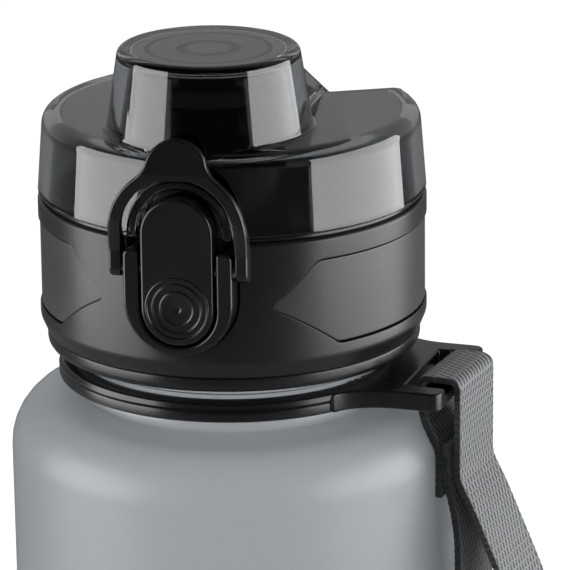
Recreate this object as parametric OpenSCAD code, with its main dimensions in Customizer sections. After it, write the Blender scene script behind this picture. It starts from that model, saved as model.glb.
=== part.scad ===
// Sports bottle with a screw cap, a spring flip lid, a push-button latch, a lock bail and a webbing strap.
// Origin at the centre of the base, +Z up, latch towards -Y, strap lug towards +X, lid hinge towards +Y.

/* [Bottle] */
// Radius of the body at the shoulder
body_r = 37.4; // [32:0.1:46]
// Radius of the body just above the base
base_r = 36.8; // [31:0.1:46]
// Height of the shoulder, where the neck starts
shoulder_z = 185; // [120:1:260]
// Wall of the body and the neck
bottle_wall = 2.1; // [1.5:0.1:3]
// Rounding of the shoulder
shoulder_fillet = 9; // [4:0.5:14]
// Rounding of the base
base_fillet = 6; // [2:0.5:10]
// Outer radius of the neck
neck_r = 25.5; // [22:0.1:28]
// Height of the neck above the shoulder
neck_h = 25; // [20:0.5:34]

/* [Screw thread] */
// Rise of the thread in one turn
thread_pitch = 4; // [3:0.5:5]
// Turns of thread on the neck
thread_turns = 2; // [1.5:0.25:2.5]
// Height of the thread's crest above its root
thread_depth = 1.35; // [1:0.05:1.6]

/* [Cap] */
// Outer radius of the grip sleeve, which the lid shares
cap_r = 32; // [30:0.1:36]
// Thickness of the soft grip sleeve
sleeve_t = 1.9; // [1.2:0.1:2.4]
// Height of the grip sleeve
sleeve_h = 22.6; // [21:0.1:30]
// Wall of the hard cap above its deck
cap_wall = 2.4; // [1.6:0.1:3]
// Thickness of the deck that closes the bottle
deck_t = 2.2; // [1.6:0.1:3]
// Thickness of the neck gasket
gasket_t = 1.6; // [1:0.1:2.4]
// How far the grip panels lie below the sleeve's face
panel_recess = 0.35; // [0.1:0.05:0.6]

/* [Spout] */
// How far the spout and the dome stand in front of the bottle's axis
spout_y = 13.4; // [12:0.1:13.6]
// Outer radius of the spout at its rim
spout_r = 11.6; // [9:0.1:12]
// Height of the spout's rim above the seam
spout_z = 20; // [14:0.5:22]

/* [Lid] */
// Wall of the clear lid
lid_wall = 2; // [1.4:0.1:2.4]
// Height of the lid's shoulder above the seam
lid_h = 14; // [12:0.5:16]
// Height of the dome's top above the seam
dome_h = 27.2; // [25:0.1:32]
// Radius of the dome where it meets the shoulder
dome_r = 16.7; // [15:0.1:17.5]

/* [Latch] */
// Width of the push button
button_w = 11.8; // [9:0.1:13]
// Length of the push button
button_len = 24.1; // [22:0.1:25]
// Radius of the latch pin
latch_pin_r = 1; // [0.8:0.1:1.2]
// Width of the latch frame's limbs
frame_limb = 2.6; // [2:0.1:3]
// Width of the bail's limbs
bail_limb = 2.05; // [1.6:0.05:3]

/* [Hinge] */
// Radius of the hinge pin
hinge_pin_r = 1.25; // [1:0.05:1.5]
// Radius of the hinge knuckles
knuckle_r = 2.7; // [2.4:0.1:2.8]

/* [Strap] */
// Width of the webbing
strap_w = 15; // [10:0.5:17]
// Thickness of the webbing
strap_t = 1; // [0.8:0.1:1.4]
// Thickness of the strap ring
ring_t = 3.1; // [2.4:0.1:3.6]
// Length of the lug's slot
slot_len = 19; // [18:0.5:21]
// Direction of the lug about the bottle's axis
lug_angle = -4.5; // [-180:0.5:180]

/* [Fits] */
// Radial clearance of a pin that turns in its bore
running_fit = 0.06; // [0.02:0.01:0.1]
// Clearance between parts that move past each other
gap = 0.4; // [0.3:0.05:0.6]

/* [Hidden] */
$fn = 96;

neck_top = shoulder_z + neck_h;
deck_z = neck_top + gasket_t;              // underside of the deck
rim_h = 4.2;                               // deck top up to the seam
seam_z = deck_z + deck_t + rim_h;          // middle of the groove between lid and sleeve
seam_gap = 0.4;                            // half of that groove
hard_r = cap_r - sleeve_t;                 // outside of the hard cap
bore_r = neck_r + 2.1;                     // thread root inside the cap
flange_r = cap_r - 0.8;                    // flange that shows in the groove
neck_in = neck_r - bottle_wall;
lip_h = 2.5;                               // hard lip below the sleeve
cap_bottom = -seam_gap - sleeve_h - lip_h; // heights from here on are from the seam
thread_start = 11;                         // above the shoulder

lid_top_r = cap_r - 1.1;                   // the lid's wall leans in by this much
lid_edge = 2.5;                            // rounding of the lid's shoulder
dome_top_r = dome_r - 2.1;
dome_edge = 1.3;
rear_fall = 26;                            // slope of the shoulder behind the V edge
rear_turn = 26;                            // angle of the V edge
ramp_w = 25;                               // ridge from the dome down to the hinge

hinge_y = cap_r + 2.4;
hinge_z = 2;
knuckle_in = 4.4;                          // lid knuckle from here
knuckle_out = 7.3;                         // to here
ear_in = knuckle_out + 0.3;
ear_out = ear_in + 3;

frame_in = button_w / 2 + gap;
frame_out = frame_in + frame_limb;
frame_top = -1.05;
frame_front = cap_r + 2.7;
frame_floor = -16.9;                       // inside of the frame's lower bend
arch_out = frame_out - 0.2;
arch_in = frame_in + 0.55;
ridge_front = cap_r + 1;
button_front = cap_r + 3;
button_back = cap_r + 0.4;
button_low = frame_floor + gap;
pad_z = button_low + button_w / 2 + 0.2;
arch_z = button_low + button_len - button_w / 2 - 0.1; // centre of the arches
latch_y = cap_r + 0.6;                     // latch pin, in front of the axis
latch_z = -4.4;
bail_in = frame_out + 0.35;
bail_out = bail_in + bail_limb;
bail_eye = 1.6;
tab_r = 5.1;
tab_z = arch_z + bail_out - 0.9;

ring_in = neck_r + 0.3;
ring_out = neck_r + 3.7;
ring_z = shoulder_z + 1.9;                 // underside of the strap ring
ring_top = ring_z + ring_t;
lug_half = slot_len / 2 + 4;
lug_sweep = 6.5;                           // length of the webs that run from the lug's sides into the ring
slot_w = 4;
lug_reach = body_r + 2 * strap_t + 0.1;    // outside of the lug's bar
bar_w = 2.8;
bar_drop = 1.3;                            // the bar lies this much below the lug's top
slot_x = lug_reach - bar_w - slot_w / 2;   // middle of the slot
strap_turn = -5;                           // the webbing sits a little askew on the bar
strap_off = 1;                             // and towards one end of the slot

// shared functions and forms

// points on an arc in steps, for polygons
function arc(x, y, r, from, to, steps = 8) =
    [for (i = [0:steps]) let(a = from + (to - from) * i / steps) [x + r * cos(a), y + r * sin(a)]];

function unit(v) = v / norm(v);

// a round bar along points, with its rings kept square to one fixed direction
module tube(points, r, across, sides = 6) {
    n = len(points);
    rings = [for (i = [0:n - 1])
        let(t = unit(points[min(i + 1, n - 1)] - points[max(i - 1, 0)]),
            u = unit(cross(t, across)),
            v = cross(t, u))
        for (k = [0:sides - 1]) points[i] + r * (cos(360 * k / sides) * u + sin(360 * k / sides) * v)];
    walls = [for (i = [0:n - 2]) for (k = [0:sides - 1])
        [i * sides + k, i * sides + (k + 1) % sides, (i + 1) * sides + (k + 1) % sides, (i + 1) * sides + k]];
    ends = [[for (k = [sides - 1:-1:0]) k], [for (k = [0:sides - 1]) (n - 1) * sides + k]];
    polyhedron(rings, concat(walls, ends), convexity = 8);
}

// a screw thread: the root is sunk in its wall, and the crest fades out at both ends
module thread(root, crest, turns) {
    steps = 36 * turns;
    root_w = 0.95;
    crest_w = 0.5;
    fade = 4;
    points = [for (i = [0:steps])
        let(a = 10 * i,
            z = thread_pitch * a / 360,
            share = min(1, (i + 0.4) / fade, (steps - i + 0.4) / fade),
            r = root + (crest - root) * share)
        for (p = [[root, -root_w], [r, -crest_w], [r, crest_w], [root, root_w]])
            [p[0] * cos(a), p[0] * sin(a), z + p[1]]];
    turned = crest < root;
    faces = [for (i = [0:steps - 1]) for (k = [0:3])
        let(q = [4 * i + k, 4 * i + (k + 1) % 4, 4 * i + 4 + (k + 1) % 4, 4 * i + 4 + k])
        turned ? [q[3], q[2], q[1], q[0]] : q];
    ends = [[3, 2, 1, 0], [for (k = [0:3]) 4 * steps + k]];
    polyhedron(points, concat(faces, turned ? ends : [for (e = ends) [e[3], e[2], e[1], e[0]]]),
        convexity = 6);
}

// a slab from an outline drawn in X and Z, between two distances in front of the axis
module front_slab(from, to) {
    translate([0, -from, 0]) rotate([90, 0, 0]) linear_extrude(height = to - from) children();
}

// a slab from an outline drawn in Y and Z, centred on X = 0
module side_slab(width) {
    rotate([90, 0, 90]) linear_extrude(height = width, center = true) children();
}

module cross_bar(r, half, y, z) {
    translate([0, y, z]) rotate([0, 90, 0]) cylinder(r = r, h = 2 * half, center = true);
}

// an upright limb-and-arch outline: a half disc of radius r at height z on straight limbs down to low
module arch_outline(r, z, low) {
    translate([0, z]) circle(r = r);
    translate([-r, low]) square([2 * r, z - low]);
}

// the same, hanging down from top
module bowl_outline(r, z, top) {
    translate([0, z]) circle(r = r);
    translate([-r, z]) square([2 * r, top - z]);
}

// bottle and strap ring

module bottle_body() {
    slope = 2;                             // the shoulder rises this much from its rounding to the neck
    edge_z = shoulder_z - slope - shoulder_fillet;
    t = bottle_wall;
    bead_z = ring_top + 0.5;
    color([0.52, 0.55, 0.58, 0.9]) {
        rotate_extrude() polygon(concat(
            [[0, 0]],
            arc(base_r - base_fillet, base_fillet, base_fillet, -90, 0),
            arc(body_r - shoulder_fillet, edge_z, shoulder_fillet, 0, 84, 12),
            [[neck_r, shoulder_z - 0.4], [neck_r, bead_z], [neck_r + 0.9, bead_z + 0.4],
             [neck_r + 0.9, bead_z + 0.8], [neck_r, bead_z + 1.3], [neck_r, neck_top - 0.6],
             [neck_r - 0.6, neck_top], [neck_in, neck_top], [neck_in, shoulder_z - 1.5]],
            arc(body_r - shoulder_fillet, edge_z, shoulder_fillet - t, 84, 0, 12),
            arc(base_r - base_fillet, base_fillet + 0.6, base_fillet - t, 0, -90),
            [[0, t + 0.6]]));
        translate([0, 0, shoulder_z + thread_start])
            thread(neck_r - 0.4, neck_r + thread_depth, thread_turns);
    }
}

module strap_ring() {
    corner = 1.6;
    root = ring_out - 0.8;
    root_y = lug_half + lug_sweep * 0.8;
    meet_x = sqrt(pow(ring_out, 2) - pow(lug_half, 2));
    side = concat(
        [[sqrt(pow(root, 2) - pow(root_y, 2)), root_y], [meet_x, lug_half + lug_sweep * 0.32],
         [meet_x + lug_sweep * 0.5, lug_half + lug_sweep * 0.08], [meet_x + lug_sweep, lug_half]],
        arc(lug_reach - corner, lug_half - corner, corner, 90, 0, 5));
    color([0.05, 0.05, 0.055]) translate([0, 0, ring_z]) difference() {
        union() {
            rotate([0, 0, 90]) cylinder(r = ring_out, h = ring_t);
            rotate([0, 0, lug_angle]) linear_extrude(height = ring_t)
                polygon(concat(side, [for (p = back(side)) [p[0], -p[1]]]));
        }
        translate([0, 0, -1]) rotate([0, 0, 90]) cylinder(r = ring_in, h = ring_t + 2);
        rotate([0, 0, lug_angle]) {
            translate([slot_x, 0, 0]) cube([slot_w, slot_len, 4 * ring_t], center = true);
            translate([slot_x, -slot_len / 2 - 0.3, ring_t - bar_drop])
                cube([slot_w / 2 + bar_w + 1, slot_len + 0.6, bar_drop + 1]);
        }
    }
}

// webbing

// middle line of the webbing: [height above the strap ring's top, offset from the run that it belongs to]
lay = strap_t + 0.14;                      // from one layer to the next
askew = strap_w / 2 * sin(abs(strap_turn)); // the bar end that the webbing's edge comes nearest to
out_x = lug_reach + strap_t / 2 + askew + 0.1; // the outer run hangs here
tail_x = out_x - 2 * lay;
fold_x = slot_x + 0.4;                     // where the webbing comes up through the slot
fold_r = strap_t / 2 + 0.4;                // of the webbing's two bends over the bar
fold_z = -bar_drop;
STRAP_TAIL = [[-20.2, 0], [-17, 0], [-15, 0], [-12.2, -0.08], [-10, -0.9], [-7.5, -1.95], [-5, -2.5],
              [-2.5, -2.75]];
STRAP_OUTER = [[-4, 0], [-10, 0], [-14, 0], [-15.6, 0], [-17.2, 0.3], [-19, 1.15], [-22, 2.7], [-28, 5.4],
               [-35, 8.5], [-46, 13], [-58, 17], [-71, 19.6], [-84, 20.8], [-98, 20.8], [-110, 18.8],
               [-119, 15]];
STRAP_FOOT = [[-124, 9.5], [-125.6, 4], [-124, -0.5]];
STRAP_INNER = [[-118, -2], [-106, -2.1], [-92, -2], [-76, -1.7], [-60, -0.9], [-46, 0.5], [-36, 1.2],
               [-28, 1.2], [-23, 0.5], [-19, -0.5], [-16, -1.2], [-14, -1.28], [-11, -1.28]];
// a Catmull-Rom curve through points
function smooth(p, steps) = [for (i = [0:len(p) - 2]) for (k = [0:steps - 1])
    let(a = p[max(i - 1, 0)], b = p[i], c = p[i + 1], d = p[min(i + 2, len(p) - 1)], t = k / steps)
    0.5 * (2 * b + (c - a) * t + (2 * a - 5 * b + 4 * c - d) * t * t + (3 * b - a - 3 * c + d) * t * t * t)];
strap_tail = [for (p = STRAP_TAIL) [tail_x + p[1] * (tail_x - fold_x) / 2.75, p[0]]];
strap_fold = concat(arc(fold_x + fold_r, fold_z, fold_r, 180, 90, 5),
                    arc(out_x - fold_r, fold_z, fold_r, 90, 0, 5));
strap_outer = [for (p = STRAP_OUTER) [out_x + p[1], p[0]]];
strap_foot = [for (p = STRAP_FOOT) [out_x + p[1], p[0]]];
strap_inner = [for (p = STRAP_INNER) [out_x + p[1] * lay / 1.28, p[0]]];
strap_line = concat(smooth(strap_tail, 2), strap_fold,
                    smooth(concat(strap_outer, strap_foot, strap_inner), 2));
function side_of(p, d) = [for (i = [0:len(p) - 1])
    let(t = unit(p[min(i + 1, len(p) - 1)] - p[max(i - 1, 0)])) p[i] + d * [t[1], -t[0]]];
function back(p) = [for (i = [len(p) - 1:-1:0]) p[i]];

module on_strap() {
    bar = lug_reach - bar_w / 2;
    rotate([0, 0, lug_angle]) translate([bar, strap_off, ring_top]) rotate([0, 0, strap_turn])
        translate([-bar, 0, 0]) children();
}

module carry_strap() {
    color([0.2, 0.21, 0.22]) on_strap()
        rotate([90, 0, 0]) linear_extrude(height = strap_w, center = true)
            polygon(concat(side_of(strap_line, strap_t / 2), back(side_of(strap_line, -strap_t / 2))));
}

module strap_stitching() {
    stitch = 0.4;
    stitch_t = 0.15;
    count = 9;
    pitch = (strap_w - 2.4) / (count - 1);
    color([0.12, 0.12, 0.13]) on_strap()
        for (row = [-13.4, -15.4],
             face = [out_x + strap_t / 2 + 0.02, tail_x - strap_t / 2 - stitch_t - 0.05])
            for (i = [0:count - 1])
                translate([face, (i - (count - 1) / 2) * pitch - 0.45, row])
                    cube([stitch_t, 0.9, stitch]);
}

// screw cap

module cap_gasket() {
    color([0.75, 0.76, 0.76]) translate([0, 0, neck_top]) difference() {
        cylinder(r = bore_r - 0.3, h = gasket_t);
        translate([0, 0, -1]) cylinder(r = neck_in, h = gasket_t + 2);
    }
}

module latch_frame_outline(grow = 0) {
    bowl_outline(frame_out + grow, frame_floor + frame_out - 1.5, frame_top + grow);
}

module ear_outline() {
    translate([hinge_y, hinge_z]) circle(r = knuckle_r);
    polygon([[bore_r + 1, -9.5], [hard_r + 0.6, -9.5],
             [hinge_y + knuckle_r * 0.8, hinge_z - knuckle_r * 0.6], [hinge_y, hinge_z],
             [hinge_y - knuckle_r * 0.9, hinge_z + knuckle_r * 0.43], [cap_r - 0.4, -0.9],
             [bore_r + 1, -0.9]]);
}

module screw_cap() {
    inner = hard_r - cap_wall;
    color([0.06, 0.06, 0.065]) translate([0, 0, seam_z]) difference() {
        union() {
            rotate_extrude() polygon([
                [0, deck_z - seam_z], [bore_r, deck_z - seam_z], [bore_r, cap_bottom + 0.4],
                [bore_r + 0.4, cap_bottom], [hard_r - 0.7, cap_bottom], [hard_r + 0.5, cap_bottom + 0.4],
                [hard_r + 0.8, cap_bottom + 1.2], [hard_r + 0.8, cap_bottom + lip_h],
                [hard_r, cap_bottom + lip_h], [hard_r, -seam_gap], [flange_r, -seam_gap],
                [flange_r, seam_gap - 0.15], [hard_r - 0.5, seam_gap - 0.15], [hard_r - 0.5, 1.2],
                [hard_r - 1.2, 1.2], [inner, -1.2], [inner, deck_z + deck_t - seam_z],
                [0, deck_z + deck_t - seam_z]]);
            front_slab(bore_r + 1.2, frame_front) latch_frame_outline();
            for (side = [-1, 1]) translate([side * (ear_in + ear_out) / 2, 0, 0])
                side_slab(ear_out - ear_in) ear_outline();
            translate([0, 0, shoulder_z + thread_start - seam_z - thread_pitch / 2])
                thread(bore_r + 0.4, bore_r - thread_depth - 0.3, thread_turns + 0.25);
        }
        front_slab(hard_r, frame_front + 1) bowl_outline(frame_in, frame_floor + frame_in, 6);
        cross_bar(latch_pin_r, bail_out, -latch_y, latch_z);
        cross_bar(hinge_pin_r, ear_out + 1, hinge_y, hinge_z);
        front_slab(hard_r - 1.2, hard_r + 1) translate([0, pad_z]) circle(r = 2.6);
        translate([0, -spout_y, deck_z - seam_z - 1]) cylinder(r = spout_r - 1.8, h = deck_t + 2);
    }
}

// the pointed panels, seen from the side
module panel_outline(grow = 0) {
    y_tip = cap_r * cos(26) + grow;
    y_high = cap_r * cos(40) + grow / 2;
    y_low = cap_r * cos(47) + grow / 2;
    z_high = -seam_gap - 3.8 + grow;
    z_low = -seam_gap - sleeve_h + 4.7 - grow;
    z_tip = (z_high + z_low) / 2;
    polygon([[-y_tip, z_tip - 0.8], [-y_tip, z_tip + 0.8], [-y_high, z_high], [y_high, z_high],
             [y_tip, z_tip + 0.8], [y_tip, z_tip - 0.8], [y_low, z_low], [-y_low, z_low]]);
}

module grip_sleeve() {
    low = -seam_gap - sleeve_h;
    ears = ear_out + 0.3;
    color([0.2, 0.21, 0.22]) translate([0, 0, seam_z]) difference() {
        rotate_extrude() polygon(concat(
            [[hard_r, low]], arc(cap_r - 2, low + 2.2, 2, -60, 0, 5),
            arc(cap_r - 0.5, -seam_gap - 0.5, 0.5, 0, 90, 3), [[hard_r, -seam_gap]]));
        side_slab(3 * cap_r) panel_outline(0.15);
        front_slab(hard_r - 4, frame_front + 1) latch_frame_outline(0.1);
        front_slab(hard_r - 4, frame_front + 1)
            translate([-frame_out - 0.1, frame_top]) square([2 * frame_out + 0.2, 3]);
        translate([-ears, hard_r - 6, -9.8]) cube([2 * ears, 12, 12]);
    }
}

module grip_panels() {
    color([0.36, 0.37, 0.38]) translate([0, 0, seam_z]) intersection() {
        difference() {
            translate([0, 0, -30]) cylinder(r = cap_r - panel_recess, h = 30);
            translate([0, 0, -31]) cylinder(r = hard_r, h = 32);
        }
        side_slab(3 * cap_r) panel_outline();
        for (side = [-1, 1])
            translate([side * cap_r, 0, -15]) cube([2 * cap_r - 12, 4 * cap_r, 40], center = true);
    }
}

module drinking_spout() {
    deck_top = deck_z + deck_t - seam_z;
    inside = spout_r - 2.2;
    color([0.07, 0.07, 0.075]) translate([0, -spout_y, seam_z]) rotate_extrude() polygon(concat(
        [[inside - 1.2, deck_top - deck_t], [spout_r - 1.8, deck_top - deck_t], [spout_r - 1.8, deck_top],
         [spout_r + 2, deck_top], [spout_r + 2, deck_top + 1.4], [spout_r + 1, deck_top + 2]],
        arc(spout_r - 1.1, spout_z - 1.1, 1.1, 0, 180, 8),
        [[inside, spout_z - 1.1], [inside - 1.2, deck_top + 2]]));
}

// lid

// the lid's outer form, or with t its cavity
module lid_form(t) {
    low = t > 0 ? seam_gap - 1 : seam_gap;
    top = lid_h - t;
    lean = (cap_r - lid_top_r) / (lid_h - lid_edge);
    edge = lid_edge - t * 0.5;
    difference() {
        rotate_extrude() polygon(concat([[0, low], [cap_r - t - lean * low, low]],
            arc(lid_top_r - t - edge, top - edge, edge, 0, 90, 6), [[0, top]]));
        for (side = [-1, 1]) intersection() {
            translate([0, 5, top]) rotate([0, 0, side * rear_turn]) rotate([-rear_fall, 0, 0])
                translate([-50, -t * tan(rear_fall / 2), 0]) cube([100, 60, 40]);
            translate([side * cap_r, 0, top]) cube([2 * cap_r, 4 * cap_r, 60], center = true);
        }
    }
    dome_low = lid_h - 9;
    dome_lean = (dome_r - dome_top_r) / (dome_h - lid_h);
    translate([0, -spout_y, 0]) rotate_extrude() polygon(concat(
        [[0, dome_low], [dome_r - t + dome_lean * (lid_h - dome_low), dome_low]],
        arc(dome_top_r - t - dome_edge + t * 0.3, dome_h - t - dome_edge + t * 0.3, dome_edge - t * 0.3,
            0, 90, 6),
        [[0, dome_h - t]]));
    intersection() {
        translate([0, 0, low]) cylinder(r = cap_r - 0.3 - t, h = dome_h);
        side_slab(ramp_w - 2 * t) polygon([[-spout_y, low], [-spout_y, dome_h - 4 - t],
            [dome_r - spout_y - 2, lid_h + 6.5 - 1.15 * t], [cap_r, 5.6 - 1.15 * t], [cap_r, low]]);
    }
}

module flip_lid() {
    lug = knuckle_out - knuckle_in;
    color([0.3, 0.31, 0.33, 0.55]) translate([0, 0, seam_z]) difference() {
        union() {
            difference() {
                union() {
                    lid_form(0);
                    intersection() {
                        front_slab(cap_r - 4, ridge_front) difference() {
                            arch_outline(arch_out, arch_z, seam_gap);
                            arch_outline(arch_in, arch_z, -2);
                        }
                        translate([-20, -60, seam_gap]) cube([40, 60, 20]);
                    }
                }
                lid_form(lid_wall);
            }
            translate([0, -spout_y, 0]) difference() {
                union() {
                    translate([0, 0, spout_z + 2.3]) cylinder(r = 5.2, h = dome_h - spout_z - 3.3);
                    difference() {
                        translate([0, 0, spout_z + 2.3]) cylinder(r = 10.3, h = dome_h - spout_z - 3.3);
                        translate([0, 0, spout_z + 1]) cylinder(r = 9.5, h = 20);
                    }
                }
                translate([0, 0, spout_z + 1]) cylinder(r = 3.6, h = dome_h - lid_wall - spout_z - 1);
            }
            for (side = [-1, 1]) translate([side * (knuckle_in + knuckle_out) / 2, 0, 0]) side_slab(lug) {
                translate([hinge_y, hinge_z]) circle(r = knuckle_r);
                polygon([[cap_r - lid_wall + 0.2, 0.7],
                         [hinge_y - knuckle_r * 0.9, hinge_z - knuckle_r * 0.43], [hinge_y, hinge_z], [hinge_y, hinge_z + knuckle_r], [cap_r - 0.6, 5.3],
                         [cap_r - lid_wall + 0.2, 3]]);
            }
        }
        cross_bar(hinge_pin_r + running_fit, ear_out, hinge_y, hinge_z);
    }
}

module spout_seal() {
    color([0.7, 0.71, 0.72]) translate([0, -spout_y, seam_z]) rotate_extrude() polygon([
        [0, spout_z - 2.6], [spout_r - 4, spout_z - 2.6], [spout_r - 3.2, spout_z + 0.05],
        [spout_r + 1, spout_z + 0.05], [spout_r + 1.3, spout_z + 0.7], [spout_r + 1.3, spout_z + 1.7],
        [spout_r + 1, spout_z + 2.3], [3.5, spout_z + 2.3], [3.5, spout_z + 4.4], [0, spout_z + 4.4]]);
}

module hinge_pin() {
    color([0.75, 0.75, 0.77]) translate([0, 0, seam_z]) cross_bar(hinge_pin_r, ear_out, hinge_y, hinge_z);
}

module lid_spring() {
    wire = 0.35;
    coil_r = hinge_pin_r + wire + 0.3;
    turns = 4.5;
    half = knuckle_in - wire - 0.2;
    coil = [for (i = [0:12 * turns]) let(a = 90 - 30 * i)
        [-half + 2 * half * i / (12 * turns), coil_r * cos(a), coil_r * sin(a)]];
    lid_leg = [[-half, 0.7 - knuckle_r, coil_r], [-half, 0.5 - knuckle_r / 2, coil_r]];
    cap_leg = [[half, 0.5 - knuckle_r / 2, -coil_r], [half, -knuckle_r, -coil_r]];
    color([0.75, 0.75, 0.77]) translate([0, hinge_y, seam_z + hinge_z])
        tube(concat(lid_leg, coil, cap_leg), wire, [1, 0, 0]);
}

// latch

module latch_button() {
    half = button_w / 2;
    boss_r = latch_pin_r + 1;
    color([0.05, 0.05, 0.055]) translate([0, 0, seam_z]) difference() {
        union() {
            front_slab(button_back, button_front) {
                bowl_outline(half, button_low + half, button_low + button_len - half);
                translate([0, button_low + button_len - half]) circle(r = half);
            }
            front_slab(button_back - 0.1, button_front + 0.25) translate([0, pad_z]) circle(r = half - 0.6);
            cross_bar(boss_r, half, -latch_y, latch_z);
            translate([-button_w / 4, -button_back - 1, arch_z + 4]) cube([button_w / 2, 1.35, 1.3]);
        }
        front_slab(button_front - 0.1, button_front + 1) translate([0, pad_z]) difference() {
            circle(r = half - 1.4);
            circle(r = half - 1.9);
        }
        translate([0, -button_front - 6.3, pad_z]) sphere(r = 6.9);
        cross_bar(latch_pin_r + running_fit, half + 1, -latch_y, latch_z);
    }
}

module latch_pin() {
    color([0.75, 0.75, 0.77]) translate([0, 0, seam_z])
        cross_bar(latch_pin_r, bail_out - 0.7, -latch_y, latch_z);
}

module latch_spring() {
    wire = 0.22;
    turns = 3;
    from = hard_r - 1.2 + wire + 0.05;
    to = button_back - 0.1 - wire - 0.05;
    color([0.75, 0.75, 0.77]) translate([0, 0, seam_z + pad_z]) tube(
        [for (i = [0:16 * turns]) let(a = 22.5 * i)
            [1.9 * cos(a), -from - (to - from) * i / (16 * turns), 1.9 * sin(a)]], wire, [0, 1, 0]);
}

module lock_bail() {
    back_low = latch_y - bail_eye;
    front_low = latch_y + bail_eye;
    back_mid = ridge_front + 0.4;
    front_mid = back_mid + 1.65;
    top = tab_z + tab_r + 0.1;
    color([0.05, 0.05, 0.055]) translate([0, 0, seam_z]) difference() {
        intersection() {
            front_slab(back_low - 1, front_mid + 1) difference() {
                union() {
                    arch_outline(bail_out, arch_z, latch_z - bail_eye);
                    translate([0, tab_z]) circle(r = tab_r);
                    polygon([[-tab_r - 2.3, tab_z - 2.2], [tab_r + 2.3, tab_z - 2.2],
                             [tab_r - 0.2, tab_z + 1.4], [0.2 - tab_r, tab_z + 1.4]]);
                }
                arch_outline(bail_in, arch_z, latch_z - 3);
            }
            side_slab(3 * bail_out) {
                translate([-latch_y, latch_z]) circle(r = bail_eye);
                polygon([[-back_low, latch_z], [-back_low, -1.5], [-back_mid, 3.8], [-back_mid, 10.8],
                         [-back_mid + 1.15, top], [-back_mid - 0.5, top], [-front_mid, 11.5],
                         [-front_mid, 3.8],
                         [-front_low, -1.5], [-front_low, latch_z]]);
            }
        }
        cross_bar(latch_pin_r + running_fit, bail_out - 0.6, -latch_y, latch_z);
    }
}

bottle_body();
strap_ring();
carry_strap();
strap_stitching();
cap_gasket();
screw_cap();
grip_sleeve();
grip_panels();
drinking_spout();
flip_lid();
spout_seal();
hinge_pin();
lid_spring();
latch_button();
latch_pin();
latch_spring();
lock_bail();
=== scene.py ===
import math
import bmesh
import bpy
from mathutils import Matrix, Vector
from mathutils.bvhtree import BVHTree


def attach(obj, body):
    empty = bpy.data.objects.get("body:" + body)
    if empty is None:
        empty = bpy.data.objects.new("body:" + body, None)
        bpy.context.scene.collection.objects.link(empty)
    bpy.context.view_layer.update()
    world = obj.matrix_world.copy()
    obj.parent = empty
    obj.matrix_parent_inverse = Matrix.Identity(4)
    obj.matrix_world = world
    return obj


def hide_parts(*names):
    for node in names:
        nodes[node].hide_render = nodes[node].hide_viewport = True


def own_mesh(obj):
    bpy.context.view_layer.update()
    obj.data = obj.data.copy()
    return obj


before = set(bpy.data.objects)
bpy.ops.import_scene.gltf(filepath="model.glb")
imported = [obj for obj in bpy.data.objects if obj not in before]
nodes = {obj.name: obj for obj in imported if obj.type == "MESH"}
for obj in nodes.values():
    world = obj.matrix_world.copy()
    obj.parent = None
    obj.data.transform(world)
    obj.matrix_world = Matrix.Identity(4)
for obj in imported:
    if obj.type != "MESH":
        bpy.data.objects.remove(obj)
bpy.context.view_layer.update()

mm = 0.001
seamZ = 218.0   # the groove between lid and cap, in mm above the base
ringTop = 190.0   # top of the strap ring
scene = bpy.context.scene

# Camera: a long lens from the front right, a little above the lid
cameraView = {"distance": 700, "elevation": 15.92, "azimuth": 14.95, "focal": 268.57, "aimRight": 8.46,
              "aimDown": 16.3, "roll": 0.62}


def addCamera(view):
    around, up = math.radians(view["azimuth"]), math.radians(view["elevation"])
    back = Vector((math.sin(around) * math.cos(up), -math.cos(around) * math.cos(up), math.sin(up)))
    side = Vector((math.cos(around), math.sin(around), 0))
    seam = Vector((0, 0, seamZ))
    place = seam + back * view["distance"]
    aim = seam + side * view["aimRight"] - back.cross(side) * view["aimDown"]
    data = bpy.data.cameras.new("studioCamera")
    data.lens = view["focal"]
    data.sensor_width = 36
    data.clip_start, data.clip_end = 0.01, 20
    camera = bpy.data.objects.new("studioCamera", data)
    scene.collection.objects.link(camera)
    look = (aim - place).to_track_quat("-Z", "Y").to_matrix()
    turn = look @ Matrix.Rotation(-math.radians(view["roll"]), 3, "Z")
    camera.matrix_world = Matrix.Translation(place * mm) @ turn.to_4x4()
    scene.camera = camera


addCamera(cameraView)
print("camera placed")


def hexColor(code):   # an sRGB hex value as a linear colour
    parts = [int(code[i:i + 2], 16) / 255 for i in (1, 3, 5)]
    return tuple(c / 12.92 if c <= 0.04045 else ((c + 0.055) / 1.055) ** 2.4 for c in parts) + (1.0,)


def addNode(tree, kind, settings=None, inputs=None):   # adds a node; an input is a value or (node, output)
    node = tree.nodes.new("ShaderNode" + kind)
    for name, value in (settings or {}).items():
        setattr(node, name, value)
    for name, value in (inputs or {}).items():
        if isinstance(value, tuple) and isinstance(value[0], bpy.types.Node):
            tree.links.new(value[0].outputs[value[1]], node.inputs[name])
        else:
            node.inputs[name].default_value = value
    return node


def newMaterial(name):
    material = bpy.data.materials.new(name)
    material.use_nodes = True
    tree = material.node_tree
    tree.nodes.clear()
    output = addNode(tree, "OutputMaterial")
    return material, tree, output


def finishMaterial(tree, output, shader):
    tree.links.new(shader.outputs[0], output.inputs["Surface"])


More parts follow.
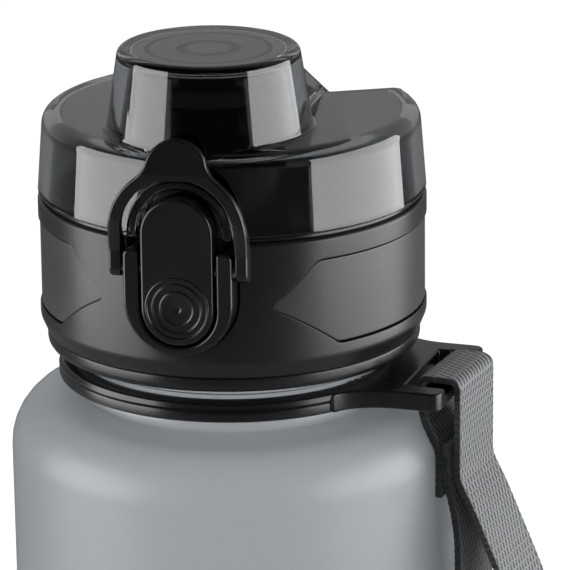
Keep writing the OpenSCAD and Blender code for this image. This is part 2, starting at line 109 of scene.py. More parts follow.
# mesh helpers, all in millimetres until a piece is placed
def rounded(corners, steps=6):   # (x, z, radius) corners as points, each corner turned to an arc
    points = []
    for index, (x, z, radius) in enumerate(corners):
        here = Vector((x, z))
        if not radius:
            points.append(here)
            continue
        before = (Vector(corners[index - 1][:2]) - here).normalized()
        after = (Vector(corners[(index + 1) % len(corners)][:2]) - here).normalized()
        half = before.angle(after) / 2
        centre = here + (before + after).normalized() * radius / math.sin(half)
        first = here + before * radius / math.tan(half) - centre
        last = here + after * radius / math.tan(half) - centre
        sweep = first.angle_signed(last)
        for step in range(steps + 1):
            turn = Matrix.Rotation(-sweep * step / steps, 2)
            points.append(centre + turn @ first)
    return points


def arc(x, z, radius, start, end, steps=12):   # degrees, counter-clockwise from +X
    turns = [math.radians(start + (end - start) * i / steps) for i in range(steps + 1)]
    return [Vector((x + radius * math.cos(turn), z + radius * math.sin(turn))) for turn in turns]


def lathe(points, closed=False, segments=128, place=(0, 0, 0)):
    bm = bmesh.new()
    verts = [bm.verts.new((p[0], 0, p[1])) for p in points]
    edges = [bm.edges.new(pair) for pair in zip(verts, verts[1:])]
    if closed:
        edges.append(bm.edges.new((verts[-1], verts[0])))
    bmesh.ops.spin(bm, geom=verts + edges, cent=(0, 0, 0), axis=(0, 0, 1), angle=2 * math.pi, steps=segments,
                   use_merge=True)
    bmesh.ops.remove_doubles(bm, verts=bm.verts, dist=1e-4)
    bmesh.ops.recalc_face_normals(bm, faces=bm.faces)
    bmesh.ops.translate(bm, verts=bm.verts, vec=place)
    return bm


facings = {   # where a slab's outline lies, and which way it is extruded
    "top": Matrix.Identity(4),
    "front": Matrix.Rotation(math.pi / 2, 4, "X"),   # outline in X and Z, extruded to the front
    # outline in Y and Z, extruded along X
    "side": Matrix(((0, 0, 1, 0), (1, 0, 0, 0), (0, 1, 0, 0), (0, 0, 0, 1)))}


def slab(points, low, high, facing="top", edge=0.0, bothEdges=False, segments=3):
    bm = bmesh.new()
    face = bm.faces.new([bm.verts.new((p[0], p[1], low)) for p in points])
    grown = bmesh.ops.extrude_face_region(bm, geom=[face])["geom"]
    bmesh.ops.translate(bm, verts=[v for v in grown if isinstance(v, bmesh.types.BMVert)],
                        vec=(0, 0, high - low))
    bmesh.ops.recalc_face_normals(bm, faces=bm.faces)
    if edge:
        rims = [e for e in bm.edges if all(v.co.z > high - 0.001 for v in e.verts)]
        if bothEdges:
            rims += [e for e in bm.edges if all(v.co.z < low + 0.001 for v in e.verts)]
        bmesh.ops.bevel(bm, geom=rims, offset=edge, segments=segments, profile=0.5, affect="EDGES",
                        clamp_overlap=True, material=-1)
    bmesh.ops.transform(bm, matrix=facings[facing], verts=bm.verts)
    return bm


def block(low, high):
    bm = bmesh.new()
    bmesh.ops.create_cube(bm, size=1)
    size = Vector(high) - Vector(low)
    bmesh.ops.scale(bm, vec=size, verts=bm.verts)
    bmesh.ops.translate(bm, vec=(Vector(low) + Vector(high)) / 2, verts=bm.verts)
    return bm


def rod(radius, start, end, segments=48):   # a round bar from start to end
    bm = bmesh.new()
    start, end = Vector(start), Vector(end)
    axis = end - start
    turn = axis.to_track_quat("Z", "Y").to_matrix().to_4x4()
    bmesh.ops.create_cone(bm, cap_ends=True, segments=segments, radius1=radius, radius2=radius,
                          depth=axis.length, matrix=Matrix.Translation((start + end) / 2) @ turn)
    return bm


def asObject(bm):
    mesh = bpy.data.meshes.new("tool")
    bm.to_mesh(mesh)
    bm.free()
    tool = bpy.data.objects.new("tool", mesh)
    scene.collection.objects.link(tool)
    return tool


def combine(base, tools, operation):   # boolean of bmeshes: UNION, DIFFERENCE or INTERSECT
    target = asObject(base)
    others = [asObject(tool) for tool in tools]
    for other in others:
        modifier = target.modifiers.new("boolean", "BOOLEAN")
        modifier.operation = operation
        modifier.solver = "EXACT"
        modifier.object = other
    result = bmesh.new()
    result.from_object(target, bpy.context.evaluated_depsgraph_get())
    for used in [target] + others:
        bpy.data.objects.remove(used)
    bmesh.ops.remove_doubles(result, verts=result.verts, dist=0.004)
    return result


def join(bm, others):   # puts loose shells in one mesh
    for other in others:
        mesh = bpy.data.meshes.new("part")
        other.to_mesh(mesh)
        other.free()
        bm.from_mesh(mesh)
        bpy.data.meshes.remove(mesh)
    return bm


def softenEdges(bm, offset, angle=35, segments=2, keep=lambda edge: True):
    limit = math.radians(angle)
    sharp = [e for e in bm.edges if len(e.link_faces) == 2 and e.calc_face_angle(0) > limit and keep(e)]
    bmesh.ops.bevel(bm, geom=sharp, offset=offset, segments=segments, profile=0.5, affect="EDGES",
                    clamp_overlap=False, material=-1)
    return bm


def makePiece(bm, name, body, material, replaced=(), angle=40):
    bmesh.ops.scale(bm, vec=(mm, mm, mm), verts=bm.verts)
    mesh = bpy.data.meshes.new(name)
    bm.to_mesh(mesh)
    bm.free()
    mesh.polygons.foreach_set("use_smooth", [True] * len(mesh.polygons))
    mesh.set_sharp_from_angle(angle=math.radians(angle))
    mesh.materials.append(material)
    piece = bpy.data.objects.new(name, mesh)
    scene.collection.objects.link(piece)
    shading = piece.modifiers.new("shading", "WEIGHTED_NORMAL")
    shading.keep_sharp = True
    shading.weight = 80
    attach(piece, body)
    if replaced:
        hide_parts(*replaced)
    print(name, "made:", len(mesh.polygons), "faces")
    return piece


# webbing strap
strapSizes = {"width": 15.0, "thick": 1.0, "turn": -5.0, "along": 1.0, "bar": 38.1, "lugAngle": -4.5,
              "outX": 40.754, "lay": 1.14, "foldX": 35.1, "bend": 0.9, "foldZ": -1.3, "ribPitch": 1.2,
              "lining": 0.55, "hem": 22.0}
# height above the strap ring, and offset from the run that the point belongs to
strapTail = [(-20.2, 0), (-17, 0), (-15, 0), (-12.2, -0.08), (-10, -0.9), (-7.5, -1.95), (-5, -2.5),
             (-2.5, -2.75)]
strapOuter = [(-4, 0), (-10, 0), (-14, 0), (-15.6, 0), (-17.2, 0.3), (-19, 1.15), (-22, 2.7), (-28, 5.4),
              (-35, 8.5), (-46, 13), (-58, 17), (-71, 19.6), (-84, 20.8), (-98, 20.8), (-110, 18.8), (-119, 15),
              (-124, 9.5), (-125.6, 4), (-124, -0.5)]
strapInner = [(-118, -2), (-106, -2.1), (-92, -2), (-76, -1.7), (-60, -0.9), (-46, 0.5), (-36, 1.2), (-28, 1.2),
              (-23, 0.5), (-19, -0.5), (-16, -1.2), (-14, -1.28), (-11, -1.28)]


def smooth(rough, steps=12):   # a Catmull-Rom curve through points, without the last one
    fine = []
    for i in range(len(rough) - 1):
        a, b, c, d = rough[max(i - 1, 0)], rough[i], rough[i + 1], rough[min(i + 2, len(rough) - 1)]
        for k in range(steps):
            t = k / steps
            slope, bend, twist = c - a, 2 * a - 5 * b + 4 * c - d, 3 * b - a - 3 * c + d
            fine.append(0.5 * (2 * b + slope * t + bend * t * t + twist * t ** 3))
    return fine


def strapPath(sizes):   # (distance out, height) along the middle of the webbing, in small steps
    outX, foldX, bend, foldZ = sizes["outX"], sizes["foldX"], sizes["bend"], sizes["foldZ"]
    tailX = outX - 2 * sizes["lay"]
    tail = smooth([Vector((tailX + off * (tailX - foldX) / 2.75, high)) for high, off in strapTail])
    fold = arc(foldX + bend, foldZ, bend, 180, 90) + arc(outX - bend, foldZ, bend, 90, 0)
    outer = [Vector((outX + off, high)) for high, off in strapOuter]
    inner = [Vector((outX + off * sizes["lay"] / 1.28, high)) for high, off in strapInner]
    return tail + fold + smooth(outer + inner)


def onStrap(sizes):   # from the flat strap plane to its place on the lug's bar
    bar = sizes["bar"]
    toLug = Matrix.Rotation(math.radians(sizes["lugAngle"]), 4, "Z")
    toBar = Matrix.Translation((bar, sizes["along"], ringTop))
    turned = Matrix.Rotation(math.radians(sizes["turn"]), 4, "Z")
    return toLug @ toBar @ turned @ Matrix.Translation((-bar, 0, 0))


def bendAlong(path, travel):   # place and direction at a distance along the path
    left = travel
    for first, second in zip(path, path[1:]):
        length = (second - first).length
        if left <= length:
            return first + (second - first) * left / length, (second - first).normalized()
        left -= length
    return path[-1], (path[-1] - path[-2]).normalized()


def webbingMaterial():
    # Woven polyester webbing: filament yarn gives a soft sheen, and painted shade darkens the slanted gaps
    # between its floats
    material, tree, output = newMaterial("wovenPolyesterWebbing")
    uv = addNode(tree, "UVMap", {"uv_map": "weave"})
    wobble = addNode(tree, "TexNoise", {}, {"Vector": (uv, "UV"), "Scale": 400.0, "Detail": 2.0})
    moved = addNode(tree, "VectorMath", {"operation": "MULTIPLY_ADD"},
                    {0: (wobble, "Color"), 1: (0.00018, 0.00018, 0.0), 2: (uv, "UV")})
    split = addNode(tree, "SeparateXYZ", {}, {"Vector": (moved, "Vector")})
    row = addNode(tree, "Math", {"operation": "MULTIPLY"}, {0: (split, "Y"), 1: 1000 / 1.25})   # 1.25 mm rows
    whole = addNode(tree, "Math", {"operation": "FLOOR"}, {0: (row, "Value")})
    part = addNode(tree, "Math", {"operation": "FRACT"}, {0: (row, "Value")})
    # every other row is set half a yarn over
    half = addNode(tree, "Math", {"operation": "MULTIPLY"}, {0: (whole, "Value"), 1: 0.5})
    lean = addNode(tree, "Math", {"operation": "MULTIPLY_ADD"},
                   {0: (part, "Value"), 1: 0.3, 2: (half, "Value")})
    # 1.2 mm yarns
    across = addNode(tree, "Math", {"operation": "MULTIPLY_ADD"},
                     {0: (split, "X"), 1: 1000 / 1.2, 2: (lean, "Value")})
    column = addNode(tree, "Math", {"operation": "FRACT"}, {0: (across, "Value")})
    gapX = addNode(tree, "Math", {"operation": "PINGPONG"}, {0: (column, "Value"), 1: 0.5})
    gapY = addNode(tree, "Math", {"operation": "PINGPONG"}, {0: (part, "Value"), 1: 0.5})
    dash = addNode(tree, "MapRange", {"interpolation_type": "SMOOTHSTEP"},
                   {"Value": (gapX, "Value"), "From Min": 0.15, "From Max": 0.3})
    seam = addNode(tree, "MapRange", {"interpolation_type": "SMOOTHSTEP"},
                   {"Value": (gapY, "Value"), "From Min": 0.0, "From Max": 0.12, "To Min": 0.8})
    inRow = addNode(tree, "MapRange", {"interpolation_type": "SMOOTHSTEP"},
                    {"Value": (gapY, "Value"), "From Min": 0.06, "From Max": 0.16, "To Min": 1.0,
                     "To Max": 0.0})
    dashed = addNode(tree, "Math", {"operation": "MAXIMUM"}, {0: (dash, "Result"), 1: (inRow, "Result")})
    gaps = addNode(tree, "Math", {"operation": "MULTIPLY"}, {0: (dashed, "Value"), 1: (seam, "Result")})
    # 0.17 mm filaments
    fibres = addNode(tree, "TexNoise", {},
                     {"Vector": (uv, "UV"), "Scale": 6000.0, "Detail": 3.0, "Roughness": 0.6})
    wear = addNode(tree, "TexNoise", {}, {"Vector": (uv, "UV"), "Scale": 90.0, "Detail": 3.0})
    yarn = addNode(tree, "ValToRGB", {}, {"Fac": (fibres, "Fac")})
    yarn.color_ramp.elements[0].position, yarn.color_ramp.elements[0].color = 0.3, hexColor("#66696b")
    yarn.color_ramp.elements[1].position, yarn.color_ramp.elements[1].color = 0.7, hexColor("#8a8d8f")
    # painted shade: the gaps between floats are mixed toward near black #101112
    shade = addNode(tree, "Mix", {"data_type": "RGBA", "blend_type": "MIX"},
                    {0: (gaps, "Value"), 6: hexColor("#101112"), 7: (yarn, "Color")})
    tone = addNode(tree, "Mix", {"data_type": "RGBA", "blend_type": "MULTIPLY"},
                   {0: 0.2, 6: (shade, 2), 7: (wear, "Color")})
    # painted shade: the cut edges and the runs that face the bottle are mixed toward near black #1e2022
    edge = addNode(tree, "Attribute", {"attribute_type": "GEOMETRY", "attribute_name": "shade"})
    shadedEdgesAndRuns = addNode(tree, "Mix", {"data_type": "RGBA", "blend_type": "MIX"},
                   {0: (edge, "Fac"), 6: (tone, 2), 7: hexColor("#1e2022")})
    height = addNode(tree, "Math", {"operation": "MULTIPLY_ADD"},
                     {0: (fibres, "Fac"), 1: 0.3, 2: (gaps, "Value")})
    bump = addNode(tree, "Bump", {}, {"Strength": 0.7, "Distance": 0.00015, "Height": (height, "Value")})
    shader = addNode(tree, "BsdfPrincipled", {},
                     {"Base Color": (shadedEdgesAndRuns, 2), "Roughness": 0.5, "IOR": 1.55, "Sheen Weight": 0.3,
                      "Sheen Roughness": 0.35, "Normal": (bump, "Normal")})
    finishMaterial(tree, output, shader)
    return material


def makeStrap(sizes):
    path = strapPath(sizes)
    length = sum((b - a).length for a, b in zip(path, path[1:]))
    alongSteps, acrossSteps = 900, 24
    bm = bmesh.new()
    bmesh.ops.create_grid(bm, x_segments=alongSteps, y_segments=acrossSteps, size=0.5)
    layer = bm.loops.layers.uv.new("weave")
    shade = bm.verts.layers.float.new("shade")   # painted shade: 1 darkens the cut edges, 0.6 the runs that face the bottle
    for face in bm.faces:
        for loop in face.loops:
            loop[layer].uv = (loop.vert.co.y * sizes["width"] * mm, (loop.vert.co.x + 0.5) * length * mm)
    places = [bendAlong(path, length * step / alongSteps) for step in range(alongSteps + 1)]
    for vert in bm.verts:
        step = round((vert.co.x + 0.5) * alongSteps)
        across = vert.co.y
        place, way = places[step]
        travel = length * step / alongSteps
        rim = max(0.0, abs(across) - 0.42) / 0.08
        scallop = 0.1 * rim * (math.cos(2 * math.pi * travel / sizes["ribPitch"]) - 1)
        ripple = 0.03 * math.cos(2 * math.pi * travel / sizes["ribPitch"]) * (1 - rim)
        side = across * sizes["width"] + math.copysign(scallop, across) * (1 if across else 0)
        inside = travel > length * sizes["lining"] or travel < sizes["hem"]   # the runs that face the bottle, darkened as painted shade
        vert[shade] = 1.0 if rim > 0.95 else 0.6 if inside else 0.0
        vert.co = (place.x - way.y * ripple, side, place.y + way.x * ripple)
    bmesh.ops.recalc_face_normals(bm, faces=bm.faces)
    bmesh.ops.solidify(bm, geom=bm.faces[:], thickness=sizes["thick"])
    return bm, length


strapBm, strapLength = makeStrap(strapSizes)
print("strap length", round(strapLength, 1))
webbing = webbingMaterial()
bmesh.ops.transform(strapBm, matrix=onStrap(strapSizes), verts=strapBm.verts)
carryStrap = makePiece(strapBm, "carryWebbing", "strap", webbing, ["carry_strap"], 60)


def threadMaterial():
    # Bonded polyester sewing thread: fine twist lines and a soft sheen
    material, tree, output = newMaterial("bondedPolyesterThread")
    coords = addNode(tree, "TexCoord")
    # 0.3 mm twist
    twist = addNode(tree, "TexWave", {"wave_type": "BANDS"},
                    {"Vector": (coords, "Object"), "Scale": 900.0, "Distortion": 1.0})
    bump = addNode(tree, "Bump", {}, {"Strength": 0.5, "Distance": 0.0001, "Height": (twist, "Fac")})
    shader = addNode(tree, "BsdfPrincipled", {},
                     {"Base Color": hexColor("#2b2e30"), "Roughness": 0.5, "Sheen Weight": 0.2,
                      "Normal": (bump, "Normal")})
    finishMaterial(tree, output, shader)
    return material


stitchSizes = {"rows": (-13.4, -15.4), "count": 9, "length": 0.9, "high": 0.4, "deep": 0.13, "margin": 2.4}


def makeStitches(sizes, strap):
    bm = bmesh.new()
    faces = (strap["outX"] + strap["thick"] / 2, strap["outX"] - 2 * strap["lay"] - strap["thick"] / 2)
    pitch = (strap["width"] - sizes["margin"]) / (sizes["count"] - 1)
    for row in sizes["rows"]:
        for face in faces:
            for i in range(sizes["count"]):
                place = Vector((face, (i - (sizes["count"] - 1) / 2) * pitch, row + sizes["high"] / 2))
                size = Matrix.Diagonal((sizes["deep"], sizes["length"] / 2, sizes["high"] / 2, 1))
                bmesh.ops.create_icosphere(bm, subdivisions=2, radius=1,
                                           matrix=Matrix.Translation(place) @ size)
    bmesh.ops.transform(bm, matrix=onStrap(strap), verts=bm.verts)
    return bm


stitches = makePiece(makeStitches(stitchSizes, strapSizes), "strapStitches", "strap", threadMaterial(),
                     ["strap_stitching"], 80)


def plasticMaterial(name, dark, light, rough, bumpScale, bumpDepth, ior=1.5, coat=0.0):
    # Moulded plastic: an even colour with faint flow clouding, and the mould's fine spark texture in the gloss
    material, tree, output = newMaterial(name)
    coords = addNode(tree, "TexCoord")
    clouds = addNode(tree, "TexNoise", {},
                     {"Vector": (coords, "Object"), "Scale": 60.0, "Detail": 3.0, "Roughness": 0.5})
    colour = addNode(tree, "ValToRGB", {}, {"Fac": (clouds, "Fac")})
    colour.color_ramp.elements[0].position, colour.color_ramp.elements[0].color = 0.3, hexColor(dark)
    colour.color_ramp.elements[1].position, colour.color_ramp.elements[1].color = 0.7, hexColor(light)
    grain = addNode(tree, "TexNoise", {},
                    {"Vector": (coords, "Object"), "Scale": bumpScale, "Detail": 2.0, "Roughness": 0.6})
    wear = addNode(tree, "MapRange", {},
                   {"Value": (clouds, "Fac"), "From Min": 0.3, "From Max": 0.7, "To Min": rough - 0.04,
                    "To Max": rough + 0.05})
    bump = addNode(tree, "Bump", {}, {"Strength": 0.4, "Distance": bumpDepth, "Height": (grain, "Fac")})
    shader = addNode(tree, "BsdfPrincipled", {},
                     {"Base Color": (colour, "Color"), "Roughness": (wear, "Result"), "IOR": ior,
                      "Coat Weight": coat, "Coat Roughness": 0.12, "Normal": (bump, "Normal")})
    finishMaterial(tree, output, shader)
    return material


# 0.7 mm grain
blackPlastic = plasticMaterial("mouldedPolypropylene", "#0a0a0b", "#0e0f10", 0.24, 1500.0, 0.00003)
gripRubber = plasticMaterial("softTouchElastomer", "#0c0d0e", "#101112", 0.33, 2500.0, 0.00004)
panelRubber = plasticMaterial("texturedElastomer", "#2a2c2e", "#2f3133", 0.38, 2500.0, 0.00004)
sealSilicone = plasticMaterial("mouldedSilicone", "#9da1a3", "#a9adaf", 0.5, 1200.0, 0.00003, 1.41)

# strap ring
ringSizes = {"inner": 25.8, "outer": 29.2, "step": 0.3, "low": 186.9, "high": 190.0, "barDrop": 1.3,
             "reach": 39.5, "half": 13.5, "corner": 1.6, "sweep": 12.0, "slotFrom": 32.7, "slotTo": 36.7,
             "slotHalf": 9.5, "shelf": 1.2, "barInset": 2.0, "barPlay": 0.3, "edge": 0.4}


def makeRing(sizes):
    low, high, half = sizes["low"], sizes["high"], sizes["half"]
    outer, inner, sweep = sizes["outer"], sizes["inner"], sizes["sweep"]
    ledge, shelf = outer - sizes["step"], high - sizes["shelf"]
    hoop = lathe([(inner, low), (outer, low), (outer, shelf - 0.1), (ledge, shelf + 0.1), (ledge, high),
                  (inner, high)], closed=True)
    sweepY = half + sweep
    sweepX = math.sqrt((outer + sweep) ** 2 - sweepY ** 2)
    start = 180 - math.degrees(math.atan2(sweepY, sweepX))
    side = arc(sweepX, -sweepY, sweep, start, 90, 16)
    corner = arc(sizes["reach"] - sizes["corner"], sizes["corner"] - half, sizes["corner"], -90, 0, 8)
    outline = side + corner + [Vector((p.x, -p.y)) for p in reversed(side + corner)]
    lug = slab(outline, low, high)
    slotFrom, slotHalf, barHalf = sizes["slotFrom"], sizes["slotHalf"], sizes["slotHalf"] + sizes["barPlay"]
    slot = block((slotFrom, -slotHalf, low - 1), (sizes["slotTo"], slotHalf, high + 1))
    recess = block((slotFrom + sizes["barInset"], -barHalf, high - sizes["barDrop"]),
                   (sizes["reach"] + 1, barHalf, high + 1))
    turn = Matrix.Rotation(math.radians(strapSizes["lugAngle"]), 3, "Z")
    for part in (lug, slot, recess):
        bmesh.ops.rotate(part, verts=part.verts, matrix=turn)
    whole = combine(hoop, [lug], "UNION")
    middle = lathe([(0, low - 1), (inner, low - 1), (inner, high + 1), (0, high + 1)])
    whole = combine(whole, [middle, slot, recess], "DIFFERENCE")
    return softenEdges(whole, sizes["edge"], 40, 3)


strapRing = makePiece(makeRing(ringSizes), "strapRing", "strap", blackPlastic,
                      ["strap_ring"])

# frosted bottle
bottleSizes = {"bodyR": 37.4, "baseR": 36.8, "shoulder": 185.0, "wall": 2.1, "neckR": 25.5, "neckTop": 210.0,
               "bead": 190.5, "threadStart": 196.0, "pitch": 4.0, "turns": 2.0, "depth": 1.35}


def frostedMaterial():
    # Frosted copolyester: a sandblasted mould leaves a satin skin that scatters light, so the tint looks grey
    material, tree, output = newMaterial("frostedCopolyester")
    coords = addNode(tree, "TexCoord")
    # 0.45 mm frost grain
    frost = addNode(tree, "TexNoise", {},
                    {"Vector": (coords, "Object"), "Scale": 2200.0, "Detail": 2.0, "Roughness": 0.7})
    clouds = addNode(tree, "TexNoise", {}, {"Vector": (coords, "Object"), "Scale": 25.0, "Detail": 2.0})
    colour = addNode(tree, "ValToRGB", {}, {"Fac": (clouds, "Fac")})
    colour.color_ramp.elements[0].position, colour.color_ramp.elements[0].color = 0.2, hexColor("#d5d8db")
    colour.color_ramp.elements[1].position, colour.color_ramp.elements[1].color = 0.8, hexColor("#dbdee1")
    bump = addNode(tree, "Bump", {}, {"Strength": 0.25, "Distance": 0.00004, "Height": (frost, "Fac")})
    shader = addNode(tree, "BsdfPrincipled", {}, {
        "Base Color": (colour, "Color"), "Roughness": 0.38, "IOR": 1.45, "Specular IOR Level": 0.35,
        "Transmission Weight": 0.9, "Normal": (bump, "Normal")})
    # the wall looks darker where it is seen edge on
    tint = addNode(tree, "VolumeAbsorption", {}, {"Color": hexColor("#7a8184"), "Density": 60.0})
    tree.links.new(tint.outputs[0], output.inputs["Volume"])
    finishMaterial(tree, output, shader)
    return material


# a thread crest spun up a helix, sunk into its wall, fading out at both ends
def helixThread(root, crest, sizes, turns, start):
    bm = bmesh.new()
    steps = int(36 * turns)
    section = ((root, -0.95), (crest, -0.5), (crest, 0.5), (root, 0.95))
    verts = [bm.verts.new((r, 0, start + z)) for r, z in section]
    edges = [bm.edges.new((verts[i], verts[(i + 1) % 4])) for i in range(4)]
    cap = bm.faces.new(verts)
    bmesh.ops.spin(bm, geom=verts + edges + [cap], cent=(0, 0, 0), axis=(0, 0, 1),
                   dvec=(0, 0, sizes["pitch"] * turns / steps), angle=2 * math.pi * turns, steps=steps,
                   use_merge=False)
    bmesh.ops.remove_doubles(bm, verts=bm.verts, dist=1e-4)
    for vert in bm.verts:
        around = math.atan2(vert.co.y, vert.co.x) / (2 * math.pi) % 1
        travel = round((vert.co.z - start) / sizes["pitch"] - around) + around
        share = max(0.05, min(1, travel * 9 + 0.1, (turns - travel) * 9 + 0.1))
        radius = math.hypot(vert.co.x, vert.co.y)
        wanted = root + (radius - root) * share
        vert.co.x, vert.co.y = vert.co.x * wanted / radius, vert.co.y * wanted / radius
    bmesh.ops.recalc_face_normals(bm, faces=bm.faces)
    return bm


def makeBottle(sizes):
    neckR, bead, top = sizes["neckR"], sizes["bead"], sizes["neckTop"]
    bodyR, baseR, wall, shoulder = sizes["bodyR"], sizes["baseR"], sizes["wall"], sizes["shoulder"]
    outside = [(0, 1.2, 0), (24, 1.2, 2), (28, 0, 2), (baseR - 0.03, 0, 6), (bodyR, shoulder - 1.9, 9.5),
               (neckR, shoulder - 0.4, 1.2), (neckR, bead, 0.2), (neckR + 0.9, bead + 0.35, 0.3),
               (neckR + 0.9, bead + 0.95, 0.3), (neckR, bead + 1.3, 0.2), (neckR, top, 0.6)]
    inside = [(neckR - wall, top, 0.4), (neckR - wall, shoulder - 1.8, 2), (bodyR - wall, shoulder - 4.2, 7.4),
              (baseR - wall, 2.7, 4), (0, 2.7, 0)]
    profile = rounded(outside + inside, 8)
    body = lathe(profile, segments=160)
    return join(body,
                [helixThread(neckR - 0.4, neckR + sizes["depth"], sizes, sizes["turns"], sizes["threadStart"])])


frostedPlastic = frostedMaterial()
frostedBottle = makePiece(makeBottle(bottleSizes), "frostedBottle", "bottle", frostedPlastic,
                          ["bottle_body"])

# screw cap with its latch frame and hinge ears
capSizes = {"hardR": 30.1, "boreR": 27.6, "flangeR": 31.2, "deckLow": -6.4, "deckTop": -4.2, "low": -25.5,
            "lip": 2.5, "inner": 27.7, "frameIn": 6.3, "frameOut": 8.9, "frameTop": -1.05, "frameFront": 34.7,
            "frameFloor": -16.9, "frameEdge": 0.55, "hingeY": 34.4, "hingeZ": 2.0, "earFrom": 7.6,
            "earTo": 10.6, "knuckle": 2.7, "earFoot": -9.5, "root": 28.8, "spoutHole": 9.8, "spoutY": 13.4}


def atSeam(bm):   # from heights above the seam to heights above the base
    bmesh.ops.translate(bm, vec=(0, 0, seamZ), verts=bm.verts)
    return bm


def makeCap(sizes):
    hard, bore, low, flange = sizes["hardR"], sizes["boreR"], sizes["low"], sizes["flangeR"]
    shell = lathe(rounded([(0, sizes["deckLow"], 0), (bore, sizes["deckLow"], 0.3), (bore, low, 0.3),
                           (hard + 0.8, low, 1.1), (hard + 0.8, low + sizes["lip"], 0.3),
                           (hard, low + sizes["lip"], 0), (hard, -0.4, 0), (flange, -0.4, 0.15),
                           (flange, 0.25, 0.15), (hard - 0.5, 0.25, 0), (hard - 0.5, 1.2, 0.3),
                           (hard - 1.2, 1.2, 0.2), (sizes["inner"], -1.2, 0.5),
                           (sizes["inner"], sizes["deckTop"], 0.4), (0, sizes["deckTop"], 0)], 4), segments=128)
    hole = rod(sizes["spoutHole"], (0, -sizes["spoutY"], sizes["deckLow"] - 1),
               (0, -sizes["spoutY"], sizes["deckTop"] + 1), 96)
    shell = combine(shell, [hole], "DIFFERENCE")
    outer, inner, top = sizes["frameOut"], sizes["frameIn"], sizes["frameTop"]
    outerZ, innerZ = sizes["frameFloor"] + outer - 1.5, sizes["frameFloor"] + inner
    right = rounded([(inner, innerZ, 0), (inner, top, 0.5), (outer, top, 1.1), (outer, outerZ, 0)], 5)
    outline = right + arc(0, outerZ, outer, 0, -180, 32)[1:-1] + [Vector((-p.x, p.y)) for p in reversed(right)]
    outline += arc(0, innerZ, inner, -180, 0, 28)[1:-1]
    root = sizes["root"]
    frameSlab = slab(outline, root, sizes["frameFront"], "front", sizes["frameEdge"], segments=4)
    ears = []
    hingeY, hingeZ, knuckle = sizes["hingeY"], sizes["hingeZ"], sizes["knuckle"]
    ear = [Vector((root, sizes["earFoot"])), Vector((30.7, sizes["earFoot"])),
           Vector((hingeY + knuckle * 0.8, hingeZ - knuckle * 0.6))]
    ear += arc(hingeY, hingeZ, knuckle, -36, 154, 16)[1:] + [Vector((31.4, -0.9)), Vector((root, -0.9))]
    for side in (-1, 1):
        span = sorted((side * sizes["earFrom"], side * sizes["earTo"]))
        ears.append(slab(ear, span[0], span[1], "side", 0.3, True, 2))
    thread = helixThread(bore + 0.4, bore - 1.65, bottleSizes, 2.25, -24)
    return atSeam(join(shell, [frameSlab] + ears + [thread]))


screwCap = makePiece(makeCap(capSizes), "screwCap", "cap", blackPlastic, ["screw_cap"])

# soft grip sleeve with its two pointed panels
gripSizes = {"outer": 32.0, "inner": 30.1, "low": -23.0, "high": -0.4, "recess": 0.28, "groove": 0.18,
             "edge": 0.22, "tipY": 28.76, "highY": 24.5, "lowY": 21.8, "highZ": -4.2, "lowZ": -18.3,
             "frameHalf": 9.1, "hingeHalf": 10.9, "hingeLow": -9.8}


def panelOutline(sizes, grow):
    tip, top, foot = sizes["tipY"] + grow, sizes["highY"] + grow / 2, sizes["lowY"] + grow / 2
    high, low = sizes["highZ"] + grow, sizes["lowZ"] - grow
    middle = (high + low) / 2
    return rounded([(-tip, middle, 1.2), (-top, high, 1.4), (top, high, 1.4), (tip, middle, 1.2),
                    (foot, low, 1.4), (-foot, low, 1.4)], 4)


def makeSleeve(sizes):
    outer, inner, low, high = sizes["outer"], sizes["inner"], sizes["low"], sizes["high"]
    ring = lathe(rounded([(inner, low, 0), (outer - 1.1, low, 0.4), (outer, low + 2.6, 2.4), (outer, high, 0.6),
                          (inner, high, 0)], 5), closed=True, segments=160)
    half, hingeHalf = sizes["frameHalf"], sizes["hingeHalf"]
    frameHole = [Vector((half, -1.0)), Vector((half, 2.0)), Vector((-half, 2.0)), Vector((-half, -1.0))]
    frameHole += arc(0, -9.5, half, 180, 360, 40)
    cuts = [slab(panelOutline(sizes, sizes["groove"]), -50, 50, "side"), slab(frameHole, 26, 40, "front"),
            block((-hingeHalf, 24, sizes["hingeLow"]), (hingeHalf, 40, 3))]
    sleeve = combine(ring, cuts, "DIFFERENCE")
    return softenEdges(sleeve, sizes["edge"], 40, 2,
                       lambda edge: all(math.hypot(v.co.x, v.co.y) > inner + 0.5 for v in edge.verts))


def makePanels(sizes):
    ring = lathe([(sizes["inner"], -21), (sizes["outer"] - sizes["recess"], -21),
                  (sizes["outer"] - sizes["recess"], -2), (sizes["inner"], -2)], closed=True, segments=160)
    sides = combine(slab(panelOutline(sizes, 0), -50, 50, "side"), [block((-13, -50, -40), (13, 50, 10))],
                    "DIFFERENCE")
    panels = combine(ring, [sides], "INTERSECT")
    return softenEdges(panels, 0.32, 40, 2,
                       lambda edge: all(math.hypot(v.co.x, v.co.y) > sizes["inner"] + 0.5 for v in edge.verts))


gripSleeve = makePiece(atSeam(makeSleeve(gripSizes)), "gripSleeve", "cap", gripRubber,
                       ["grip_sleeve"])
gripPanels = makePiece(atSeam(makePanels(gripSizes)), "gripPanels", "cap", panelRubber,
                       ["grip_panels"])

# drinking spout and its seal
spoutSizes = {"y": -13.4, "outer": 11.6, "inner": 9.4, "rim": 20.0, "deckLow": -6.4, "deckTop": -4.2,
              "sealR": 12.9}


def makeSpout(sizes):
    outer, inner, rim, top = sizes["outer"], sizes["inner"], sizes["rim"], sizes["deckTop"]
    return lathe(rounded([(inner - 1.2, sizes["deckLow"], 0.2), (outer - 1.8, sizes["deckLow"], 0.2),
                          (outer - 1.8, top, 0), (outer + 2, top, 0.2), (outer + 2, top + 1.4, 0.6),
                          (outer + 1, top + 2, 0.6), (outer, rim, 1.09), (inner, rim, 1.09),
                          (inner - 1.2, top + 2, 1)], 6), closed=True, segments=96, place=(0, sizes["y"], 0))


